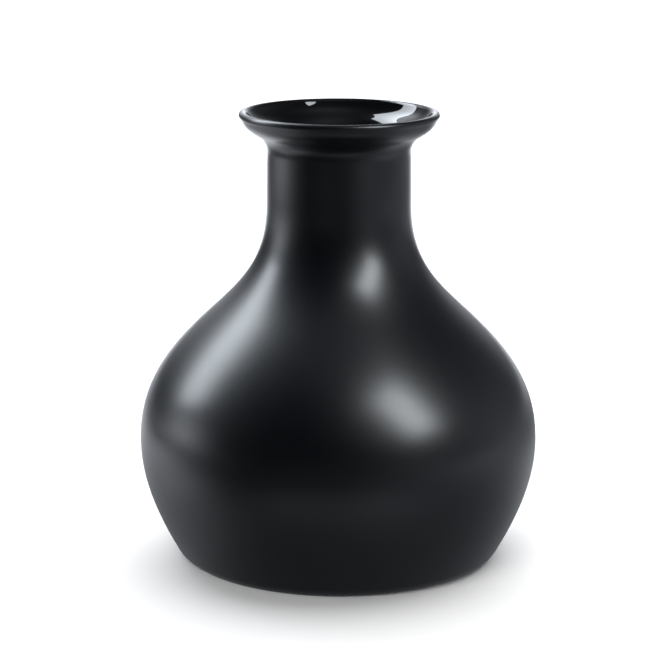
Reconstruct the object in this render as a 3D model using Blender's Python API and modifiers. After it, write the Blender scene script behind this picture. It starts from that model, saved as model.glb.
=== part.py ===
"""An empty candle vessel: a bulb-bodied glass bottle with a long neck and a flared mouth, lacquered satin black.

Metres, +Z up. The origin is the centre of the standing ring, on the surface that the vessel stands on.
Every piece is a turned shape about the Z axis.
"""

import math
from collections import namedtuple

import bpy

MM = 0.001

# The vessel's outline is the lacquer's outer face, from the lip down to the standing ring. A knot gives its
# radius and height, how far the way down leans out from the vertical in degrees, and how far the curve holds
# that direction before and after it.
Knot = namedtuple("Knot", "radius height lean before after")
LIP = Knot(34.5 * MM, 155.9 * MM, -36, 0, 2.0 * MM)
FLARE = Knot(28.7 * MM, 150.0 * MM, -60, 5.8 * MM, 3.6 * MM)
NECK_TOP = Knot(25.0 * MM, 143.5 * MM, 0, 2.4 * MM, 1.8 * MM)
NECK_FOOT = Knot(25.3 * MM, 126.0 * MM, 0, 7.8 * MM, 17.5 * MM)
SHOULDER = Knot(42.7 * MM, 89.9 * MM, 47, 14.8 * MM, 18.1 * MM)
BELLY = Knot(70.0 * MM, 42.9 * MM, 0, 21.6 * MM, 6.3 * MM)
HEEL = Knot(57.7 * MM, 4.0 * MM, -30, 23.9 * MM, 2.6 * MM)
RING = Knot(51.6 * MM, 0, -90, 2.6 * MM, 0)

# Each span of the outline, with the number of facets down it.
SPANS = (
    (LIP, FLARE, 4),
    (FLARE, NECK_TOP, 4),
    (NECK_TOP, NECK_FOOT, 2),
    (NECK_FOOT, SHOULDER, 5),
    (SHOULDER, BELLY, 6),
    (BELLY, HEEL, 6),
    (HEEL, RING, 4),
)

GLASS_WALL = 2.0 * MM      # under the lacquer
LACQUER = 0.4 * MM         # much more than a sprayed film, so that it is a solid
GAP = 0.3 * MM             # between pieces that touch
WHOLE_WALL = GLASS_WALL + GAP + LACQUER
BARE_LIP_FACETS = 1        # the lacquer starts this many facets below the lip's bead
BARE_HEEL_FACETS = 2       # and stops this many facets above the standing ring

RING_WIDTH = 5.6 * MM      # of the flat that touches the table
RING_INNER_LEAN = 2.4 * MM # how far its inner side leans in on its way up
RECESS_EDGE = 1.8 * MM     # height of the recessed underside, beside the ring
RECESS_RISE = 1.8 * MM     # how much higher it is on the axis
FLOOR_HEIGHT = 6.8 * MM    # of the inside floor
FLOOR_RADIUS = 43.0 * MM   # of its flat part
INSIDE_LAST_FACET = 5      # of the span below the belly: there the inside leaves the outline for the floor
INSIDE_HEEL = (4.0 * MM, 8.0 * MM)  # how far that curve holds the wall's and the floor's direction

ROUND_FACETS = 48
BEAD_FACETS = 10
FLOOR_FACETS = 3
INSIDE_HEEL_FACETS = 5


def span_point(start, end, t):
    """(radius, height, lean) at t from 0 to 1 down the smooth curve from one knot to the next."""
    first = (start.radius, start.height)
    last = (end.radius, end.height)
    way_out = (math.sin(math.radians(start.lean)), -math.cos(math.radians(start.lean)))
    way_in = (math.sin(math.radians(end.lean)), -math.cos(math.radians(end.lean)))
    second = [first[i] + start.after * way_out[i] for i in (0, 1)]
    third = [last[i] - end.before * way_in[i] for i in (0, 1)]
    s = 1 - t
    place = [
        s**3 * first[i] + 3 * s**2 * t * second[i] + 3 * s * t**2 * third[i] + t**3 * last[i]
        for i in (0, 1)
    ]
    way = [
        s**2 * (second[i] - first[i]) + 2 * s * t * (third[i] - second[i]) + t**2 * (last[i] - third[i])
        for i in (0, 1)
    ]
    return place[0], place[1], math.atan2(way[0], -way[1])


def outline_of(spans):
    """The stations down a chain of spans, each (radius, height, lean)."""
    stations = [span_point(*spans[0][:2], 0)]
    for start, end, facets in spans:
        stations += [span_point(start, end, (k + 1) / facets) for k in range(facets)]
    return stations


def inset(station, depth):
    """The point this deep under the outline's face."""
    radius, height, lean = station
    return radius - depth * math.cos(lean), height - depth * math.sin(lean)


def turned(name, profile, closed, material, collection):
    """A solid turned from a profile, which runs down its outer side."""
    mesh = bpy.data.meshes.new(name)
    edges = [(k, k + 1) for k in range(len(profile) - 1)]
    if closed:
        edges.append((len(profile) - 1, 0))
    mesh.from_pydata([(radius, 0, height) for radius, height in profile], edges, [])
    piece = bpy.data.objects.new(name, mesh)
    collection.objects.link(piece)
    screw = piece.modifiers.new("turn", "SCREW")
    screw.steps = ROUND_FACETS
    screw.render_steps = ROUND_FACETS
    screw.use_merge_vertices = True
    screw.merge_threshold = 0.01 * MM
    screw.use_smooth_shade = True
    mesh.materials.append(material)
    return piece


def glossy_glass():
    """Clear glass that is seen against the lacquer behind it, so it looks black and wet."""
    material = bpy.data.materials.new("glossy_glass")
    material.use_nodes = True
    shader = material.node_tree.nodes["Principled BSDF"]
    shader.inputs["Base Color"].default_value = (0.006, 0.006, 0.007, 1)
    shader.inputs["Roughness"].default_value = 0.05
    shader.inputs["Metallic"].default_value = 0
    return material


def satin_lacquer():
    material = bpy.data.materials.new("satin_lacquer")
    material.use_nodes = True
    shader = material.node_tree.nodes["Principled BSDF"]
    shader.inputs["Base Color"].default_value = (0.011, 0.012, 0.014, 1)
    shader.inputs["Roughness"].default_value = 0.38
    shader.inputs["Metallic"].default_value = 0
    return material


def recess_height(radius):
    """The height of the glass's recessed underside, which is a shallow dome."""
    return RECESS_EDGE + RECESS_RISE * (1 - (radius / recess_radius()) ** 2)


def recess_radius():
    return RING.radius - RING_WIDTH - RING_INNER_LEAN


def inside_of_glass(outline):
    """The inside from the floor's centre out and up to the lip's bead."""
    leave = len(outline) - 1 - SPANS[-1][2] - SPANS[-2][2] + INSIDE_LAST_FACET
    wall = [inset(station, WHOLE_WALL) for station in outline[1 : leave + 1]]
    lean = math.degrees(outline[leave][2])
    wall_end = Knot(*wall[-1], lean, 0, INSIDE_HEEL[0])
    floor_edge = Knot(FLOOR_RADIUS, FLOOR_HEIGHT, -90, INSIDE_HEEL[1], 0)
    heel = outline_of([(wall_end, floor_edge, INSIDE_HEEL_FACETS)])
    down = wall[:-1] + [(radius, height) for radius, height, _ in heel]
    down += [(FLOOR_RADIUS * (1 - (k + 1) / FLOOR_FACETS), FLOOR_HEIGHT) for k in range(FLOOR_FACETS)]
    return down[::-1]


def lip_bead(lip):
    """The fire-polished half-round on the lip, from its inner end over the top to its outer end."""
    radius = WHOLE_WALL / 2
    across, up = inset(lip, radius)
    turns = [lip[2] + math.pi * (1 - k / BEAD_FACETS) for k in range(BEAD_FACETS + 1)]
    return [(across + radius * math.cos(a), up + radius * math.sin(a)) for a in turns]


def outside_of_glass(outline):
    """The outside under the lacquer, which comes out to the outline where the heel is bare."""
    covered = outline[BARE_LIP_FACETS:-BARE_HEEL_FACETS]
    bare = outline[-BARE_HEEL_FACETS:]
    under = [inset(station, LACQUER + GAP) for station in covered]
    depths = [(LACQUER + GAP) * (1 - (k + 1) / BARE_HEEL_FACETS) for k in range(BARE_HEEL_FACETS)]
    return under + [inset(station, depth) for station, depth in zip(bare, depths)]


def underside_of_glass():
    """The standing ring's flat, its inner side and the recess, in to the axis."""
    ring_inner = RING.radius - RING_WIDTH
    points = [(ring_inner, 0), (ring_inner - RING_INNER_LEAN / 3, RECESS_EDGE / 3)]
    points += [
        (radius, recess_height(radius))
        for radius in (recess_radius() * (1 - k / FLOOR_FACETS) for k in range(FLOOR_FACETS + 1))
    ]
    return points


def make_glass_vessel(outline, collection):
    profile = inside_of_glass(outline) + lip_bead(outline[0]) + outside_of_glass(outline)
    profile += underside_of_glass()
    return turned("glass_vessel", profile, False, glossy_glass(), collection)


def make_body_coat(outline, lacquer, collection):
    covered = outline[BARE_LIP_FACETS:-BARE_HEEL_FACETS]
    outer = [inset(station, 0) for station in covered]
    inner = [inset(station, LACQUER) for station in covered]
    return turned("body_coat", outer + inner[::-1], True, lacquer, collection)


def make_base_coat(lacquer, collection):
    edge = recess_radius() - 2 * GAP
    radii = [edge * k / FLOOR_FACETS for k in range(FLOOR_FACETS + 1)]
    top = [(radius, recess_height(radius) - GAP) for radius in radii]
    bottom = [(radius, height - LACQUER) for radius, height in reversed(top)]
    return turned("base_coat", top + bottom, False, lacquer, collection)


def main():
    for old in list(bpy.data.objects):
        bpy.data.objects.remove(old)
    collection = bpy.data.collections.new("candle_vessel")
    bpy.context.scene.collection.children.link(collection)
    outline = outline_of(SPANS)
    lacquer = satin_lacquer()
    make_glass_vessel(outline, collection)
    make_body_coat(outline, lacquer, collection)
    make_base_coat(lacquer, collection)


main()
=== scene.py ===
"""The looks of an empty candle vessel: blown glass under a satin black lacquer.

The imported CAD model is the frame. Each of its three nodes is replaced by a fine turned mesh of the same
outline, and gets a node-based material. Metres, +Z up, the standing ring's centre at the origin.
"""

import math
from collections import namedtuple

import bmesh
import bpy
import numpy as np
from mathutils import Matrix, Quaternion, Vector, noise

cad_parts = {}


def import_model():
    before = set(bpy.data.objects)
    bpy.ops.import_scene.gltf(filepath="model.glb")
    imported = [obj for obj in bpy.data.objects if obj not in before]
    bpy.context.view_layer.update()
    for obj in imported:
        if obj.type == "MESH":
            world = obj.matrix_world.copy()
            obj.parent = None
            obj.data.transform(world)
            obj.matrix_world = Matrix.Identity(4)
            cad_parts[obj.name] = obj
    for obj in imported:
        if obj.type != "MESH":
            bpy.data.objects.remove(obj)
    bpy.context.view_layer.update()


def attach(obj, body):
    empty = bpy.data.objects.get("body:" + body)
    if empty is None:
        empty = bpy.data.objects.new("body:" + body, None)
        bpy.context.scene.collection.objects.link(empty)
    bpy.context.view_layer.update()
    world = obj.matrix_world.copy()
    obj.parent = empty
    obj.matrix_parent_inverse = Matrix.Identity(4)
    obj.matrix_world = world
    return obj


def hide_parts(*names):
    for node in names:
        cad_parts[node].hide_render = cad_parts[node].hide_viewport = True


MM = 0.001

# The outline, as the CAD model has it: the lacquer's outer face from the lip to the standing ring.
# A knot's lean is how far its face looks up, in degrees, and before and after are its handles' lengths.
# The values were found by a fit and rounded, as were the camera's.
Knot = namedtuple("Knot", "radius height lean before after")
LIP = Knot(34.5 * MM, 155.9 * MM, -36, 0, 2.0 * MM)
FLARE = Knot(28.7 * MM, 150.0 * MM, -60, 5.8 * MM, 3.6 * MM)
NECK_TOP = Knot(25.0 * MM, 143.5 * MM, 0, 2.4 * MM, 1.8 * MM)
NECK_FOOT = Knot(25.3 * MM, 126.0 * MM, 0, 7.8 * MM, 17.5 * MM)
SHOULDER = Knot(42.7 * MM, 89.9 * MM, 47, 14.8 * MM, 18.1 * MM)
BELLY = Knot(70.0 * MM, 42.9 * MM, 0, 21.6 * MM, 6.3 * MM)
HEEL = Knot(57.7 * MM, 4.0 * MM, -30, 23.9 * MM, 2.6 * MM)
RING = Knot(51.6 * MM, 0, -90, 2.6 * MM, 0)
KNOTS = (LIP, FLARE, NECK_TOP, NECK_FOOT, SHOULDER, BELLY, HEEL, RING)

WALL = 2.7 * MM              # of the glass with its lacquer
FILM = 0.08 * MM             # the lacquer
FILM_BED = 0.10 * MM         # how deep the glass lies under the lacquer's outer face
BARE_BED = 0.03 * MM         # how deep the bare glass lies under the outline
SPARE = 0.03 * MM            # the whole outline is drawn in by this, so that nothing leaves the CAD box
SPARE_RADIUS = 10 * MM       # nearer the axis than this, it is drawn in less

WAVE_HEIGHT = 0.03 * MM      # the slow waves of the glass
WAVE_REACH = 24 * MM
WAVE_SEED = 3.1

BEAD_COVER = math.radians(78)    # how far up the lip's bead the lacquer reaches
FILM_END = math.radians(-76)     # the lean at which it ends on the heel
FILM_TAPER = 0.5 * MM            # over which it thins out at its edges
FILM_THINNEST = 0.15             # the share of it that is left at its edges
FILM_RAMP = (0, 0.1, 0.3, 0.6, 1.0)    # where its edge has stations, as shares of the taper
FILM_RAGGED = 0.12 * MM          # how uneven its edges are
RAGGED_FINENESS = 9              # higher is finer
TOP_SEED = 1.7
END_SEED = 8.3
BASE_SEED = 5.9
BED_RISE = (0.2 * MM, 0.8 * MM)  # how far past the film's ends the glass rises out of its bed
RING_FADE = 2 * MM               # the glass meets the outline over this stretch above the ring

RING_WIDTH = 5.6 * MM
RING_INNER_LEAN = 2.4 * MM
RECESS_RADIUS = RING.radius - RING_WIDTH - RING_INNER_LEAN
RECESS_EDGE = 1.8 * MM
RECESS_RISE = 1.8 * MM
RECESS_LEAN = -94
RECESS_HANDLES = (1.2 * MM, 1.0 * MM)
BASE_FILM_GAP = 0.6 * MM         # between the recess's edge and the film in it
BASE_RAGGED = 3                  # how many times more uneven that film's edge is

FLOOR_HEIGHT = 6.8 * MM
FLOOR_RADIUS = 43.0 * MM
# The share of the way from belly to heel where the inside leaves the outline, and its handles from there.
INSIDE_LEAVES = 0.83
INSIDE_HEEL = (4.0 * MM, 8.0 * MM)
EASE_STEP = 0.4 * MM             # the inside's bends are eased in steps of this
EASE_PASSES = 22

SPAN_STATIONS = 16
ROUND_STATIONS = 256
BEAD_STATIONS = 18
FLOOR_STATIONS = 12
RING_STATIONS = 6
EDGE_STATIONS = 10
DOME_STATIONS = 24

# The camera stands where the vessel's rim is seen from about 8 degrees above.
CAMERA_PLACE = (-1.4 * MM, -850 * MM, 276.2 * MM)
CAMERA_TILT = math.radians(90 - 13.07)
CAMERA_ROLL = math.radians(0.2)
CAMERA_LENS = 133.3              # mm, as is the sensor's width
CAMERA_SENSOR = 36
CAMERA_REACH = 20                # m, past the floor's far edge
CAMERA_WHITE = 1.1               # how bright the camera sees the world past the floor's end

# The glows and the pools below are the rounded result of a least-squares fit, and weren't set by hand.
# The floor's lights are too, and the vessel's lights were adjusted after such a fit.
LIGHT_DISTANCE = 1.2
LIGHT_AIM = Vector((0, 0, 0.08))
# Each light's name, azimuth, elevation, width, height, roll, radiance and colour.
VESSEL_LIGHTS = (
    ("right_softbox", 48.2, 38.8, 0.384, 0.76, 13.8, 14.8, (0.95, 1.0, 1.04)),
    ("left_softbox", -120.6, 39.8, 0.432, 1.17, 37.8, 10.6, (0.92, 1.0, 1.07)),
)
# The wide lights that the floor is seen by: name, azimuth, elevation, angle across and strength.
FLOOR_LIGHTS = (
    ("floor_sky", 160, 60, 90, 3.4),
    ("floor_back", 160, 15, 90, 1.4),
    ("floor_front", -20, 15, 60, 4.0),
)
# The glows of the studio round the vessel: azimuth, elevation, tightness and radiance of each.
GLOWS = (
    (-140, 40, 36, 3.75),
    (-100, 0, 36, 4.35),
    (180, 12, 16, 2.25),
    (100, 0, 6, 0.49),
    (60, 80, 16, 0.37),
)
# The glowing pools painted into the floor, which only the vessel's reflections show: distance, azimuth,
# size and radiance of each.
POOLS = (
    (0.09, -60, 0.032, 0.24),
    (0.15, -80, 0.053, 0.94),
    (0.15, -20, 0.053, 0.33),
    (0.15, 20, 0.053, 0.39),
    (0.15, 120, 0.090, 0.42),
    (0.26, -100, 0.091, 1.58),
    (0.26, -160, 0.156, 1.72),
    (0.45, 80, 0.270, 0.87),
    (0.80, 180, 0.280, 8.96),
    (1.60, -100, 0.560, 5.79),
    (1.60, -20, 0.560, 0.68),
    (1.60, 40, 0.560, 1.37),
    (1.60, 120, 0.960, 0.78),
)
STUDIO_COLOUR = (0.94, 0.98, 1.06, 1.0)
FLOOR_REACH = 8.0
FLOOR_SIDES = 96
FLOOR_PALE = (0.86, 0.86, 0.86)
FLOOR_ROUGHNESS = 0.9

IOR = 1.5
LACQUER_ROUGHNESS = 0.32
LACQUER_DARK = (0.0014, 0.0017, 0.0028)
LACQUER_LIGHT = (0.0020, 0.0024, 0.0037)
DUST = (0.05, 0.05, 0.052)
RUBBED = (0.016, 0.016, 0.017)
GLASS_BLACK = (0.004, 0.004, 0.0045)
GLASS_SPECULAR = 0.35
FROST_DARK = (0.09, 0.095, 0.10)
FROST_LIGHT = (0.22, 0.225, 0.23)


def span_point(start, end, t):
    """(radius, height, lean) at t from 0 to 1 down the smooth curve from one knot to the next."""
    first = np.array((start.radius, start.height))
    last = np.array((end.radius, end.height))
    way_out = np.array((math.sin(math.radians(start.lean)), -math.cos(math.radians(start.lean))))
    way_in = np.array((math.sin(math.radians(end.lean)), -math.cos(math.radians(end.lean))))
    second = first + start.after * way_out
    third = last - end.before * way_in
    s = 1 - t
    place = s**3 * first + 3 * s**2 * t * second + 3 * s * t**2 * third + t**3 * last
    way = s**2 * (second - first) + 2 * s * t * (third - second) + t**2 * (last - third)
    return place[0], place[1], math.atan2(way[0], -way[1])


def span_stations(start, end, count=SPAN_STATIONS, until=1.0):
    """The stations after the start of one span."""
    return [span_point(start, end, until * (k + 1) / count) for k in range(count)]


def bead_rows(radius, first, last):
    """Rows of (radius, height, lean) round the lip's bead, from one lean to another."""
    lean = math.radians(LIP.lean)
    across = LIP.radius - WALL / 2 * math.cos(lean)
    up = LIP.height - WALL / 2 * math.sin(lean)
    turns = np.linspace(first, last, BEAD_STATIONS + 1)
    return [(across + radius * math.cos(a), up + radius * math.sin(a), a) for a in turns]


def outer_path():
    """Rows of (radius, height, lean) from the top of the lip's bead down to the standing ring."""
    rows = bead_rows(WALL / 2, math.pi / 2, math.radians(LIP.lean))
    for start, end in zip(KNOTS, KNOTS[1:]):
        rows += span_stations(start, end)
    return np.array(rows)


def inset(rows, depth):
    """The points this deep under a path's face, as rows of (radius, height)."""
    depth = np.broadcast_to(depth, len(rows))
    return np.stack(
        [rows[:, 0] - depth * np.cos(rows[:, 2]), rows[:, 1] - depth * np.sin(rows[:, 2])], axis=1
    )


def along(rows):
    """How far down the path each of its rows is."""
    return np.concatenate([[0], np.cumsum(np.linalg.norm(np.diff(rows[:, :2], axis=0), axis=1))])


def covered(rows):
    """(start, end) of the lacquer, as distances down the path."""
    way = along(rows)
    top = np.argmax(rows[:, 2] < BEAD_COVER)
    below_belly = rows[:, 1] < BELLY.height
    end = np.argmax(below_belly & (rows[:, 2] < FILM_END))
    return way[top], way[end]


def smooth_step(low, high, value):
    """0 up to low, 1 from high on, and smooth between them."""
    t = np.clip((value - low) / (high - low), 0, 1)
    return t * t * (3 - 2 * t)


def ragged(angles, seed):
    """An uneven edge: how far it strays at each angle round the vessel."""
    ring = [
        Vector((RAGGED_FINENESS * math.cos(a), RAGGED_FINENESS * math.sin(a), seed)) for a in angles
    ]
    return FILM_RAGGED * np.array([noise.noise(place) + 0.5 * noise.noise(place * 4) for place in ring])


def film_cover(edge):
    """The share of the film's thickness at this distance from its edge."""
    return FILM_THINNEST + (1 - FILM_THINNEST) * smooth_step(0, FILM_TAPER, edge)


def waves(angle, rows):
    """The slow unevenness of blown glass at one angle's rows, never more than its height."""
    sway = []
    for radius, rise in rows:
        place = Vector((radius * math.cos(angle), radius * math.sin(angle), rise)) / WAVE_REACH
        sway.append(noise.noise(place + Vector((0, 0, WAVE_SEED))))
    return WAVE_HEIGHT * np.clip(sway, -1, 1)


def turned(name, rings, closed):
    """A solid from one profile at each angle, an array of (angle, station, radius and height)."""
    count, stations = rings.shape[:2]
    angles = np.arange(count) * 2 * math.pi / count
    radius, height = rings[:, :, 0], rings[:, :, 1]
    points = np.stack(
        [radius * np.cos(angles)[:, None], radius * np.sin(angles)[:, None], height], axis=2
    ).reshape(-1, 3)
    poles = () if closed else (0, stations - 1)
    faces = []
    for k in range(count):
        here, there = k * stations, (k + 1) % count * stations
        for s in range(stations if closed else stations - 1):
            after = (s + 1) % stations
            first, last = (0, 0) if s in poles else (here, there)
            second, third = (0, 0) if after in poles else (here, there)
            corners = [first + s, second + after, third + after, last + s]
            faces.append(list(dict.fromkeys(corners)))
    mesh = bpy.data.meshes.new(name)
    mesh.from_pydata(points.tolist(), [], faces)
    piece = bpy.data.objects.new(name, mesh)
    bpy.context.scene.collection.objects.link(piece)
    drop_loose_points(mesh)
    mesh.shade_smooth()
    return piece


def drop_loose_points(mesh):
    """Takes out the points that no face uses, which are the poles of all angles but the first."""
    work = bmesh.new()
    work.from_mesh(mesh)
    bmesh.ops.delete(work, geom=[v for v in work.verts if not v.link_faces], context="VERTS")
    work.to_mesh(mesh)
    work.free()


def recess_height(radius):
    """The glass's recessed underside, a shallow dome."""
    return RECESS_EDGE + RECESS_RISE * (1 - (radius / RECESS_RADIUS) ** 2)


def eased(rows):
    """The profile with its bends eased over a few millimetres, as fire polishing leaves them."""
    way = along(rows)
    even = np.arange(0, way[-1], EASE_STEP)
    eased_rows = np.stack([np.interp(even, way, rows[:, k]) for k in range(2)], axis=1)
    for _ in range(EASE_PASSES):
        eased_rows[1:-1] = (eased_rows[:-2] + 2 * eased_rows[1:-1] + eased_rows[2:]) / 4
    return np.stack([np.interp(way, even, eased_rows[:, k]) for k in range(2)], axis=1)


def inside_rows(path):
    """The inside, as rows of (radius, height) from the floor's centre up to the lip's bead."""
    wall = path[BEAD_STATIONS:]
    belly_at = len(wall) - 1 - 2 * SPAN_STATIONS
    leave = belly_at + round(INSIDE_LEAVES * SPAN_STATIONS)
    down = eased(inset(wall[: leave + 1], WALL))
    wall_end = Knot(*down[-1], math.degrees(wall[leave, 2]), 0, INSIDE_HEEL[0])
    floor_edge = Knot(FLOOR_RADIUS, FLOOR_HEIGHT, -90, INSIDE_HEEL[1], 0)
    heel = [point[:2] for point in span_stations(wall_end, floor_edge)]
    steps = range(FLOOR_STATIONS)
    floor = [(FLOOR_RADIUS * (1 - (k + 1) / FLOOR_STATIONS), FLOOR_HEIGHT) for k in steps]
    return np.concatenate([down, heel, floor])[::-1]


def bead_inner_rows():
    """The inner half of the lip's bead, up to its top."""
    rows = bead_rows(WALL / 2 - BARE_BED, math.pi + math.radians(LIP.lean), math.pi / 2)
    return np.array(rows)[1:-1, :2]


def underside_rows():
    """The standing ring's ground flat with its eased edges, then the recess in to the axis."""
    inner = RING.radius - RING_WIDTH
    steps = range(1, RING_STATIONS + 1)
    flat = [(RING.radius + (inner - RING.radius) * k / RING_STATIONS, 0) for k in steps]
    rise = Knot(inner, 0, -90, 0, RECESS_HANDLES[0])
    settle = Knot(RECESS_RADIUS, recess_height(RECESS_RADIUS), RECESS_LEAN, RECESS_HANDLES[1], 0)
    side = [point[:2] for point in span_stations(rise, settle, EDGE_STATIONS)]
    radii = [RECESS_RADIUS * (1 - (k + 1) / DOME_STATIONS) for k in range(DOME_STATIONS)]
    dome = [(radius, recess_height(radius)) for radius in radii]
    return np.array(flat + side + dome)


def drawn_in(rings, angles):
    """The rings with the glass's slow waves, and drawn in by the spare, so that none leaves the CAD box."""
    moved = rings.copy()
    for k, angle in enumerate(angles):
        share = np.clip(rings[k, :, 0] / SPARE_RADIUS, 0, 1)
        moved[k, :, 0] += (waves(angle, rings[k]) - SPARE) * share
    return moved


def make_glass(path, angles):
    """The whole vessel in one skin of glass, a little under the lacquer's face and bare at its two ends."""
    way = along(path)
    start, end = covered(path)
    near, far = BED_RISE
    under = smooth_step(start - far, start - near, way)
    under *= 1 - smooth_step(end + near, end + far, way)
    depth = BARE_BED + (FILM_BED - BARE_BED) * under
    depth *= 1 - smooth_step(way[-1] - RING_FADE, way[-1], way)
    rows = np.concatenate([inside_rows(path), bead_inner_rows(), inset(path, depth), underside_rows()])
    rings = np.repeat(rows[None], len(angles), axis=0)
    return turned("glass_body", drawn_in(rings, angles), closed=False)


def make_body_lacquer(path, angles):
    """The sprayed film from the lip's bead down to the heel, thin and uneven at its edges."""
    way = along(path)
    start, end = covered(path)
    ramp = np.array(FILM_RAMP) * FILM_TAPER
    edge_room = FILM_TAPER + 3 * FILM_RAGGED
    middle = way[(way > start + edge_room) & (way < end - edge_room)]
    rings = []
    for top_shift, end_shift in zip(ragged(angles, TOP_SEED), ragged(angles, END_SEED)):
        places = np.concatenate([start + top_shift + ramp, middle, end + end_shift - ramp[::-1]])
        rows = np.stack([np.interp(places, way, path[:, k]) for k in range(3)], axis=1)
        edge = np.minimum(places - places[0], places[-1] - places)
        rings.append(np.concatenate([inset(rows, FILM * (1 - film_cover(edge))), inset(rows, FILM)[::-1]]))
    return turned("lacquer_outside", drawn_in(np.array(rings), angles), closed=True)


def make_base_lacquer(angles):
    """The film on the recessed underside, with an uneven edge."""
    shares = np.concatenate([np.linspace(0, 0.97, DOME_STATIONS), [0.985, 0.995, 1]])
    rings = []
    for shift in ragged(angles, BASE_SEED):
        radii = (RECESS_RADIUS - BASE_FILM_GAP + BASE_RAGGED * shift) * shares
        top = np.stack([radii, recess_height(radii) - (FILM_BED - FILM)], axis=1)
        bottom = np.stack([radii, top[:, 1] - FILM * film_cover(radii[-1] - radii)], axis=1)
        rings.append(np.concatenate([top, bottom[::-1]]))
    return turned("lacquer_underside", np.array(rings), closed=False)


class Shading:
    """A material's node tree, with the few steps that the materials here are made of."""

    def __init__(self, name):
        self.material = bpy.data.materials.new(name)
        self.material.use_nodes = True
        self.tree = self.material.node_tree
        self.shader = self.tree.nodes["Principled BSDF"]
        self.place = self.tree.nodes.new("ShaderNodeTexCoord").outputs["Object"]

    def node(self, kind, settings, **links):
        """A node with these settings. A link names its input, or is i0, i1 and so on for its place."""
        made = self.tree.nodes.new(kind)
        for key, value in settings.items():
            setattr(made, key, value)
        for key, value in links.items():
            socket = made.inputs[int(key[1:])] if key[0] == "i" and key[1:].isdigit() else made.inputs[key]
            if isinstance(value, bpy.types.NodeSocket):
                self.tree.links.new(value, socket)
            else:
                socket.default_value = value
        return made

    def noise(self, size, detail=2.0, roughness=0.5, stretch=(1, 1, 1)):
        """Smooth noise with lumps of this size."""
        place = self.node("ShaderNodeVectorMath", {"operation": "MULTIPLY"}, i0=self.place, i1=stretch)
        made = self.node("ShaderNodeTexNoise", {}, Vector=place.outputs[0], Scale=1 / size)
        made.inputs["Detail"].default_value = detail
        made.inputs["Roughness"].default_value = roughness
        return made.outputs["Fac"]

    def spread(self, value, low, high, start=0.0, end=1.0):
        """value from start to end becomes low to high."""
        made = self.node("ShaderNodeMapRange", {"clamp": True}, Value=value)
        made.inputs["From Min"].default_value = start
        made.inputs["From Max"].default_value = end
        made.inputs["To Min"].default_value = low
        made.inputs["To Max"].default_value = high
        return made.outputs["Result"]

    def math(self, operation, first, second=0.0):
        """One step of arithmetic."""
        return self.node("ShaderNodeMath", {"operation": operation}, i0=first, i1=second).outputs[0]

    def mix(self, share, first, second):
        """Two colours mixed by a share. A Mix node's colours are its inputs 6 and 7 and its output 2."""
        made = self.node("ShaderNodeMix", {"data_type": "RGBA"})
        self.tree.links.new(share, made.inputs["Factor"])
        for socket, value in ((made.inputs[6], first), (made.inputs[7], second)):
            if isinstance(value, bpy.types.NodeSocket):
                self.tree.links.new(value, socket)
            else:
                socket.default_value = (*value, 1)
        return made.outputs[2]

    def bump(self, height, distance, below=None):
        """A bump of this distance over another bump."""
        made = self.node("ShaderNodeBump", {}, Height=height, Distance=distance, Strength=1.0)
        if below is not None:
            self.tree.links.new(below, made.inputs["Normal"])
        return made.outputs["Normal"]

    def rise(self):
        """The height over the standing ring's plane, in metres."""
        return self.node("ShaderNodeSeparateXYZ", {}, Vector=self.place).outputs["Z"]

    def feed(self, **links):
        """Sets or links the shader's own inputs."""
        for key, value in links.items():
            socket = self.shader.inputs[key.replace("_", " ")]
            if isinstance(value, bpy.types.NodeSocket):
                self.tree.links.new(value, socket)
            else:
                socket.default_value = value


def lacquer_material():
    """Satin black sprayed lacquer: cloudiness, orange peel, a fine tooth, dust nibs and a rubbed foot."""
    s = Shading("satin_black_lacquer")
    cloud = s.noise(45 * MM)
    mottle = s.noise(3.5 * MM, detail=3.0)
    rubbed_foot = s.spread(s.rise(), 1, 0, 0.4 * MM, 1.8 * MM)
    rubbed = s.math("MULTIPLY", rubbed_foot, s.spread(s.noise(2.2 * MM, detail=4.0), 0, 1, 0.42, 0.62))
    nibs = s.node(
        "ShaderNodeTexVoronoi", {"feature": "F1"}, Vector=s.place, Scale=1 / (4.5 * MM), Randomness=1.0
    )
    chosen = s.node("ShaderNodeSeparateColor", {}, Color=nibs.outputs["Color"]).outputs[0]
    nib = s.spread(nibs.outputs["Distance"], 1, 0, 0.01, 0.05)
    nib = s.math("MULTIPLY", nib, s.math("GREATER_THAN", chosen, 0.72))

    rough = s.math("ADD", s.spread(cloud, -0.02, 0.02), s.spread(mottle, -0.015, 0.015))
    rough = s.math("ADD", rough, LACQUER_ROUGHNESS)
    rough = s.math("SUBTRACT", rough, s.math("MULTIPLY", rubbed, 0.10))
    colour = s.mix(cloud, LACQUER_DARK, LACQUER_LIGHT)
    colour = s.mix(s.math("MULTIPLY", nib, 0.35), colour, DUST)
    colour = s.mix(s.math("MULTIPLY", rubbed, 0.5), colour, RUBBED)

    normal = s.bump(s.noise(0.9 * MM, detail=1.0), 2.2e-6)
    normal = s.bump(s.noise(0.16 * MM, detail=2.0), 0.5e-6, normal)
    normal = s.bump(nib, 12e-6, normal)
    s.feed(Base_Color=colour, Roughness=rough, IOR=IOR, Metallic=0.0, Normal=normal)
    return s.material


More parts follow.
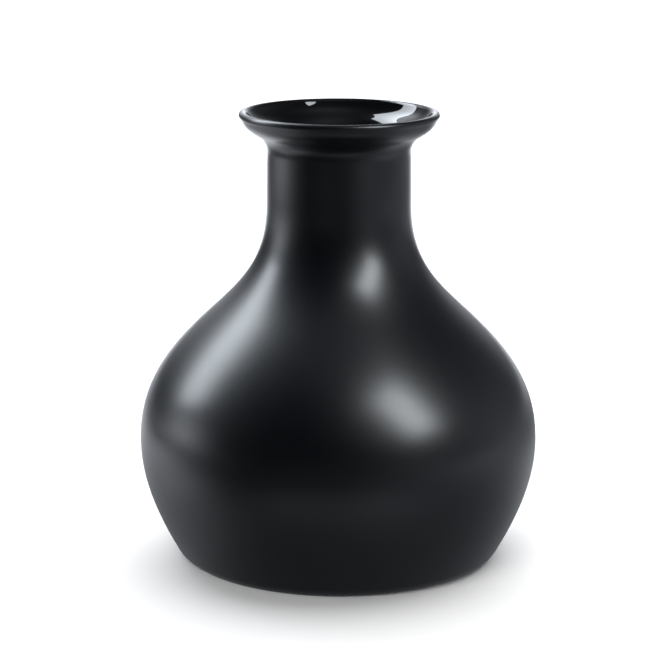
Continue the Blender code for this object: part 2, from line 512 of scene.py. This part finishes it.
def glass_material():
    """Glass against black lacquer: glossy black with slow waves, and ground grey on the standing ring."""
    s = Shading("glossy_black_glass")
    haze = s.noise(16 * MM, detail=3.0)
    ground = s.spread(s.rise(), 1, 0, 0.02 * MM, 0.16 * MM)
    scratches = s.noise(0.5 * MM, detail=5.0, roughness=0.7)
    deep = s.spread(s.rise(), 1, 0, 8 * MM, 60 * MM)
    rough = s.math("ADD", s.spread(haze, 0.02, 0.045), s.math("MULTIPLY", deep, 0.08))
    rough = s.math("ADD", rough, s.math("MULTIPLY", ground, s.spread(scratches, 0.38, 0.6, 0.3, 0.7)))
    frost = s.mix(s.spread(scratches, 0, 1, 0.35, 0.65), FROST_DARK, FROST_LIGHT)
    colour = s.mix(ground, GLASS_BLACK, frost)
    normal = s.bump(s.noise(20 * MM, detail=0.0), 12e-6)
    normal = s.bump(s.noise(2.0 * MM, detail=1.0, stretch=(1, 1, 3)), 0.8e-6, normal)
    normal = s.bump(s.math("MULTIPLY", ground, scratches), 12e-6, normal)
    s.feed(Base_Color=colour, Roughness=rough, IOR=IOR, Metallic=0.0, Normal=normal)
    s.feed(Specular_IOR_Level=GLASS_SPECULAR)
    return s.material


def floor_material():
    """A plain pale floor, clear from below so that the underside can be looked at.

    Its pools are painted glow, seen only in the vessel's reflections, and stand in for what a studio would
    show there.
    """
    s = Shading("pale_floor")
    s.feed(Base_Color=(*FLOOR_PALE, 1), Roughness=FLOOR_ROUGHNESS, Specular_IOR_Level=0.0)
    total = 0.0
    for distance, azimuth, size, radiance in POOLS:
        away = s.node("ShaderNodeVectorMath", {"operation": "DISTANCE"}, i0=s.place)
        away.inputs[1].default_value = direction(azimuth, 0) * distance
        away = away.outputs["Value"]
        fall = s.math("EXPONENT", s.math("MULTIPLY", s.math("MULTIPLY", away, away), -1 / size**2))
        total = s.math("ADD", s.math("MULTIPLY", fall, radiance), total)
    # the pools' painted glow, which only glossy rays see: a painted reflection in the vessel
    painted_reflection = s.node("ShaderNodeEmission", {}, Strength=total, Color=STUDIO_COLOUR)
    rays = s.node("ShaderNodeLightPath", {})
    side = s.node("ShaderNodeNewGeometry", {})
    clear = s.node("ShaderNodeBsdfTransparent", {})
    mixed = s.shader
    for share, other in ((rays.outputs["Is Glossy Ray"], painted_reflection), (side.outputs["Backfacing"], clear)):
        mixed = s.node("ShaderNodeMixShader", {}, i0=share, i1=mixed.outputs[0], i2=other.outputs[0])
    s.tree.links.new(mixed.outputs[0], s.tree.nodes["Material Output"].inputs["Surface"])
    s.material.cycles.emission_sampling = "NONE"
    return s.material


def make_floor():
    """A wide round floor."""
    work = bmesh.new()
    bmesh.ops.create_circle(work, cap_ends=True, radius=FLOOR_REACH, segments=FLOOR_SIDES)
    mesh = bpy.data.meshes.new("floor")
    work.to_mesh(mesh)
    work.free()
    floor = bpy.data.objects.new("floor", mesh)
    bpy.context.scene.collection.objects.link(floor)
    mesh.materials.append(floor_material())
    return floor


def direction(azimuth, elevation):
    """Where a light is seen from the vessel. Azimuth 0 is the camera's side and 90 is +X."""
    a, e = math.radians(azimuth), math.radians(elevation)
    return Vector((math.cos(e) * math.sin(a), -math.cos(e) * math.cos(a), math.sin(e)))


def softbox(name, azimuth, elevation, width, height, roll, radiance, colour, receivers):
    """A rectangular light that faces the vessel."""
    way = direction(azimuth, elevation)
    data = bpy.data.lights.new(name, "AREA")
    data.shape = "RECTANGLE"
    data.size = width
    data.size_y = height
    data.color = colour
    data.energy = radiance * math.pi * width * height
    light = bpy.data.objects.new(name, data)
    bpy.context.scene.collection.objects.link(light)
    light.location = LIGHT_AIM + way * LIGHT_DISTANCE
    light.rotation_mode = "QUATERNION"
    light.rotation_quaternion = (-way).to_track_quat("-Z", "Y") @ Quaternion((0, 0, 1), math.radians(roll))
    light.visible_camera = False
    light.light_linking.receiver_collection = receivers


def floor_light(name, azimuth, elevation, across, strength, receivers):
    """An even wide light for the floor, which gives it its soft contact shadow."""
    data = bpy.data.lights.new(name, "SUN")
    data.angle = math.radians(across)
    data.energy = strength
    light = bpy.data.objects.new(name, data)
    bpy.context.scene.collection.objects.link(light)
    light.rotation_mode = "QUATERNION"
    light.rotation_quaternion = (-direction(azimuth, elevation)).to_track_quat("-Z", "Y")
    light.light_linking.receiver_collection = receivers


def group(name, *members):
    """A collection outside the scene, for the lights that reach only its members."""
    made = bpy.data.collections.new(name)
    for member in members:
        made.objects.link(member)
    return made


def make_world():
    """The studio round the vessel, as soft glows. The camera sees plain white where the floor ends."""
    world = bpy.data.worlds.new("studio")
    bpy.context.scene.world = world
    world.use_nodes = True
    tree = world.node_tree

    def math_node(operation, *values):
        """One step of arithmetic."""
        made = tree.nodes.new("ShaderNodeMath")
        made.operation = operation
        for socket, value in zip(made.inputs, values):
            if isinstance(value, bpy.types.NodeSocket):
                tree.links.new(value, socket)
            else:
                socket.default_value = value
        return made.outputs[0]

    way = tree.nodes.new("ShaderNodeTexCoord").outputs["Generated"]
    total = 0.0
    for azimuth, elevation, tightness, radiance in GLOWS:
        towards = tree.nodes.new("ShaderNodeVectorMath")
        towards.operation = "DOT_PRODUCT"
        tree.links.new(way, towards.inputs[0])
        towards.inputs[1].default_value = direction(azimuth, elevation)
        power = math_node("MULTIPLY_ADD", towards.outputs["Value"], tightness, -tightness)
        total = math_node("MULTIPLY_ADD", math_node("EXPONENT", power), radiance, total)
    camera = tree.nodes.new("ShaderNodeLightPath").outputs["Is Camera Ray"]
    white = math_node("MULTIPLY", camera, CAMERA_WHITE)
    tree.links.new(math_node("MAXIMUM", total, white), tree.nodes["Background"].inputs["Strength"])
    tree.nodes["Background"].inputs["Color"].default_value = STUDIO_COLOUR


def make_camera():
    """The camera, in front of the vessel and a little above it."""
    data = bpy.data.cameras.new("camera")
    data.lens = CAMERA_LENS
    data.sensor_width = CAMERA_SENSOR
    data.clip_end = CAMERA_REACH
    camera = bpy.data.objects.new("camera", data)
    camera.location = CAMERA_PLACE
    camera.rotation_mode = "QUATERNION"
    camera.rotation_quaternion = Quaternion((1, 0, 0), CAMERA_TILT) @ Quaternion((0, 0, 1), CAMERA_ROLL)
    bpy.context.scene.collection.objects.link(camera)
    bpy.context.scene.camera = camera


def stand_in(piece, node, material):
    """The piece takes a CAD node's place."""
    piece.data.materials.append(material)
    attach(piece, "root")
    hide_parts(node)


def main():
    """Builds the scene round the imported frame."""
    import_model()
    make_camera()

    path = outer_path()
    angles = np.arange(ROUND_STATIONS) * 2 * math.pi / ROUND_STATIONS
    glass = make_glass(path, angles)
    outside = make_body_lacquer(path, angles)
    underside = make_base_lacquer(angles)
    lacquer = lacquer_material()
    stand_in(glass, "glass_vessel", glass_material())
    stand_in(outside, "body_coat", lacquer)
    stand_in(underside, "base_coat", lacquer)

    floor = make_floor()
    vessel = group("lit_vessel", glass, outside, underside)
    ground = group("lit_floor", floor)
    for settings in VESSEL_LIGHTS:
        softbox(*settings, vessel)
    for settings in FLOOR_LIGHTS:
        floor_light(*settings, ground)
    make_world()
    bpy.context.scene.view_settings.view_transform = "Standard"


main()
